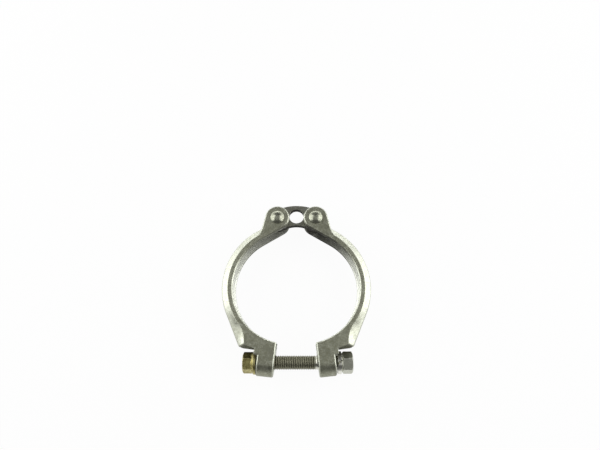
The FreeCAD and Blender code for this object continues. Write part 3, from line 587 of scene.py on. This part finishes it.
def link_steel():
    """Rolled plate with edges worn and painted as a highlight, and painted shade where it looks at
    the bolt and in corners.
    """
    material, tree, shader = metal("rolled link steel", 0.36)
    soft = rounded(tree, 0.22 * MM)
    edges = edge_band(tree, soft)
    rolled = grain(tree, ROLLED, 3.0, stretch=(14.0, 1.0, 1.0))
    clouds = grain(tree, 2.6 * MM, 4.0)
    skin = mixed(tree, between(tree, clouds, 0.35, 0.65), LINK_GREY, LINK_PALE)
    skin = mixed(tree, maths(tree, "MULTIPLY", edges, 0.55), skin, CAST_WEAR_AND_HIGHLIGHT)
    facing = between(tree, parts_of(tree, "Normal")[1], -0.25, -0.70)
    # Painted shade on the edge that looks at the bolt and in corners.
    shade_sheet = maths(tree, "MAXIMUM", facing, corners(tree, 0.9 * MM))
    feed(tree, shader.inputs["Base Color"], mixed(tree, shade_sheet, skin, CAST_SHADE_SHEET))
    dulled(tree, shader, shade_sheet, drifting(tree, rolled, 0.30, 0.44))
    feed(tree, shader.inputs["Normal"], bumped(tree, rolled, 0.008 * MM, soft))
    return material


finish_nodes(link_steel(), "hinge_link")

# %% [markdown]
# ## The bolt
# The bolt is a six-millimetre machine screw with a coarse one-millimetre thread. A
# thread could be faked with stripes, but its crests break the outline against the
# white table, so it is cut for real. The skin of the shank is a grid: rows along the
# axis, points round it, and each point's radius follows a v groove whose place shifts by
# one pitch a turn. The groove is shallower than the 0.61 mm of a real one, because deeper
# grooves gave the shank too much contrast. The head, its collar and the short stub of
# shank inside the washer are taken over from the construction model, cut just before the
# washer, and bridged to the last row of the grid.

# %% Measure the bolt
bolt_low, bolt_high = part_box("clamp_bolt")
BOLT_AXIS_Y = (bolt_low.y + bolt_high.y) / 2
BOLT_TIP = bolt_low.x
SHANK_RADIUS = 3.0 * MM
PITCH = 1.0 * MM
THREAD_DEPTH = 0.36 * MM
THREAD_END = 7.9 * MM
RUN_OUT = 1.6 * MM
TIP_BEVEL = 0.6 * MM
HEAD_CUT = 18.2 * MM
HEAD_START = 20.05 * MM
print("bolt axis at y", round(BOLT_AXIS_Y / MM, 3), "mm, tip at x", round(BOLT_TIP / MM, 2))

# %% Shape of the thread
ROOT_FLAT = 0.08
FLANK_SHARE = 0.60
ROWS_A_PITCH = 12


def groove_share(along, turn):
    """0 on a crest, 1 in a root; the groove steps one pitch along for each turn."""
    phase = (along / PITCH - turn) % 1.0
    height = abs(2.0 * phase - 1.0)
    return 1.0 - min(max((height - ROOT_FLAT) / FLANK_SHARE, 0.0), 1.0)


def thread_radius(along, turn):
    """Radius of the shank's skin, with a bevelled tip and a groove that runs out."""
    fade = min(max((THREAD_END + RUN_OUT - along) / RUN_OUT, 0.0), 1.0)
    groove = THREAD_DEPTH * fade * groove_share(along, turn)
    bevel = SHANK_RADIUS - TIP_BEVEL + (along - BOLT_TIP)
    return min(SHANK_RADIUS - groove, bevel)


def shank_rows():
    """Places of the rows: close together on the thread, then one at the cut."""
    step = PITCH / ROWS_A_PITCH
    count = round((THREAD_END + RUN_OUT - BOLT_TIP) / step)
    return [BOLT_TIP + step * row for row in range(count + 1)] + [HEAD_CUT]


print("thread rows:", len(shank_rows()))

# %% Skin of the shank
AROUND = 56


def shank_grid(mesh):
    """Adds the threaded shank to a mesh and gives back its last ring."""
    rings = []
    for along in shank_rows():
        ring = []
        for step in range(AROUND):
            turn = step / AROUND
            radius = thread_radius(along, turn)
            angle = 2 * math.pi * turn
            place = (along, BOLT_AXIS_Y + radius * math.cos(angle), radius * math.sin(angle))
            ring.append(mesh.verts.new(place))
        rings.append(ring)
    for first, second in zip(rings, rings[1:]):
        for step in range(AROUND):
            after = (step + 1) % AROUND
            mesh.faces.new((first[step], second[step], second[after], first[after]))
    mesh.faces.new(rings[0])
    return rings[-1]


print("points round the shank:", AROUND)

# %% Head and whole bolt
SAME_PLACE = 1e-7
SHARP_ANGLE = math.radians(24)


def head_from_model(mesh):
    """Adds the construction model's head, collar and stub of shank, open at the cut."""
    mesh.from_mesh(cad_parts["clamp_bolt"].data)
    bmesh.ops.remove_doubles(mesh, verts=mesh.verts, dist=SAME_PLACE)
    everything = mesh.verts[:] + mesh.edges[:] + mesh.faces[:]
    bmesh.ops.bisect_plane(mesh, geom=everything, plane_co=(HEAD_CUT, 0, 0),
                           plane_no=(1, 0, 0), clear_inner=True)
    bmesh.ops.dissolve_limit(mesh, angle_limit=math.radians(1), verts=mesh.verts,
                             edges=mesh.edges)
    return [edge for edge in mesh.edges if edge.is_boundary]


def build_bolt(material):
    """One closed mesh of head, collar, plain shank and thread."""
    mesh = bmesh.new()
    open_edges = head_from_model(mesh)
    last = shank_grid(mesh)
    ring_edges = [mesh.edges.get((last[i], last[(i + 1) % AROUND])) for i in range(AROUND)]
    bmesh.ops.bridge_loops(mesh, edges=open_edges + ring_edges)
    bmesh.ops.recalc_face_normals(mesh, faces=mesh.faces)
    print("open edges left on the bolt:", sum(edge.is_boundary for edge in mesh.edges))
    data = bpy.data.meshes.new("threaded_bolt")
    mesh.to_mesh(data)
    mesh.free()
    data.shade_smooth()
    data.set_sharp_from_angle(angle=SHARP_ANGLE)
    data.materials.clear()
    data.materials.append(material)
    bolt = bpy.data.objects.new("threaded_bolt", data)
    bpy.context.collection.objects.link(bolt)
    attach(bolt, "bolt")
    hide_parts("clamp_bolt")
    return bolt


print("head is cut off at x", round(HEAD_CUT / MM, 1), "mm")

# %% [markdown]
# The bolt's steel is painted darker brown between the threads, as painted shade in the
# roots, and is paler and bare on the crests. Crest and root could be two materials set
# face by face. But how far a point lies from the axis already tells one from the other, so
# one number paints all the turns, however the bolt is turned. The head is forged steel,
# chipped along its corners by the wrench; its corners and a scatter of flecks are painted
# paler, as wear and as painted glints. The chips are bumps that only rise where the Bevel
# node finds an edge.

# %% Bolt steel
BOLT_CREST = (0.265, 0.26, 0.19, 1.0)
# Darker root colour: painted shade in the roots of the thread.
BOLT_ROOT_SHADE = (0.185, 0.18, 0.13, 1.0)
# Dark colour of the painted shade in corners of the bolt, the washer and the nut.
SMALL_PARTS_SHADE = (0.05, 0.045, 0.034, 1.0)
BOLT_BARE = (0.62, 0.62, 0.54, 1.0)
BOLT_HEAD = (0.49, 0.50, 0.42, 1.0)
# Paler colour for wear and painted glints on the head's edges and flecks.
BOLT_WEAR_AND_GLINT = (0.86, 0.87, 0.79, 1.0)
ROOT_RADIUS = 2.66 * MM
CREST_RADIUS = 2.99 * MM
CHIP = 0.6 * MM
CHIP_HEIGHT = 0.5 * MM
CHIPPED_EDGE = 0.55 * MM


def thread_skin(tree, shank):
    """Darker brown in the roots as painted shade, paler on the crests, bare on the plain shank."""
    out = away_from(tree, (0, BOLT_AXIS_Y, 0), "X")
    thread = mixed(tree, between(tree, out, ROOT_RADIUS, CREST_RADIUS), BOLT_ROOT_SHADE, BOLT_CREST)
    return mixed(tree, shank, thread, BOLT_BARE)


def head_skin(tree, edges, flecks):
    """Forged steel, painted paler along the edges as wear and highlight, and flecked all over with
    painted glints.
    """
    head = mixed(tree, maths(tree, "MULTIPLY", edges, 0.8), BOLT_HEAD, BOLT_WEAR_AND_GLINT)
    return mixed(tree, between(tree, flecks, 0.55, 0.68, 0.0, 0.6), head, BOLT_WEAR_AND_GLINT)


def bolt_steel():
    """Thread, plain shank and head in one material, told apart by place."""
    material, tree, shader = metal("bolt steel with painted root shade", 0.34)
    edges = edge_band(tree, rounded(tree, CHIPPED_EDGE))
    along = parts_of(tree, "Object")[0]
    shank = between(tree, along, THREAD_END, THREAD_END + 0.5 * RUN_OUT)
    is_head = between(tree, along, HEAD_START - 0.15 * MM, HEAD_START)
    flecks = grain(tree, 0.5 * MM, 4.0)
    skin = mixed(tree, is_head, thread_skin(tree, shank), head_skin(tree, edges, flecks))
    # Painted shade in the corners by the head.
    shaded_in_corners(tree, shader, skin, 0.6 * MM, 0.35, SMALL_PARTS_SHADE)
    rough = merged(tree, is_head, merged(tree, shank, 0.50, 0.22), 0.40)
    blotchy = drifting(tree, flecks, 0.85, 1.0)
    feed(tree, shader.inputs["Roughness"], maths(tree, "MULTIPLY", rough, blotchy))
    chips = maths(tree, "MULTIPLY", grain(tree, CHIP, 2.0), edges)
    relief = bumped(tree, grain(tree, 0.22 * MM, 2.0), 0.006 * MM, rounded(tree, 0.14 * MM))
    feed(tree, shader.inputs["Normal"], bumped(tree, chips, CHIP_HEIGHT, relief))
    return material


bolt = build_bolt(bolt_steel())
print("bolt faces:", len(bolt.data.polygons))

# %% [markdown]
# ## The spring washer and the lock nut
# The washer is a single coil of bright spring wire, drawn and so nearly free of grain.
# The nut has a yellow plate that has gone olive in patches, and it is painted a paler
# yellow along the collar and the corners, as wear and as a painted highlight. Worn plate
# could be a mask painted by hand. The same
# edge finder that brightens the castings does it here, with another colour behind it.

# %% Washer steel and nut plate
WASHER_BRIGHT = (0.84, 0.84, 0.77, 1.0)
WASHER_DULL = (0.50, 0.50, 0.44, 1.0)
NUT_OLIVE = (0.44, 0.40, 0.165, 1.0)
NUT_BROWN = (0.27, 0.235, 0.090, 1.0)
# Paler yellow for wear and the painted highlight along the edges.
NUT_WEAR_AND_HIGHLIGHT = (0.90, 0.82, 0.54, 1.0)


def washer_steel():
    """Bright drawn wire with a little painted shade in the split."""
    material, tree, shader = metal("drawn spring steel", 0.25)
    soft = rounded(tree, 0.2 * MM)
    drawn = grain(tree, 0.35 * MM, 3.0, warp=0.4)
    skin = mixed(tree, between(tree, drawn, 0.4, 0.75), WASHER_BRIGHT, WASHER_DULL)
    # Painted shade in the split and corners.
    shaded_in_corners(tree, shader, skin, 0.5 * MM, 0.4, SMALL_PARTS_SHADE)
    feed(tree, shader.inputs["Roughness"], drifting(tree, drawn, 0.18, 0.32))
    feed(tree, shader.inputs["Normal"], bumped(tree, drawn, 0.008 * MM, soft))
    return material


def nut_plate():
    """Plate in olive and brown patches, painted yellow along the edges as wear and highlight, with
    painted shade in corners.
    """
    material, tree, shader = metal("olive plated nut", 0.36)
    soft = rounded(tree, 0.22 * MM)
    edges = edge_band(tree, soft)
    patches = grain(tree, 1.3 * MM, 4.0, warp=0.5)
    fine = grain(tree, 0.25 * MM, 2.0)
    skin = mixed(tree, between(tree, patches, 0.38, 0.62), NUT_BROWN, NUT_OLIVE)
    # Edges worn and painted paler yellow as a highlight.
    skin = mixed(tree, maths(tree, "MULTIPLY", edges, 0.7), skin, NUT_WEAR_AND_HIGHLIGHT)
    # Painted shade in corners.
    shaded_in_corners(tree, shader, skin, 0.7 * MM, 0.7, SMALL_PARTS_SHADE)
    feed(tree, shader.inputs["Roughness"], drifting(tree, fine, 0.28, 0.44))
    feed(tree, shader.inputs["Normal"], bumped(tree, fine, 0.010 * MM, soft))
    return material


finish_nodes(washer_steel(), "spring_washer")
finish_nodes(nut_plate(), "lock_nut")
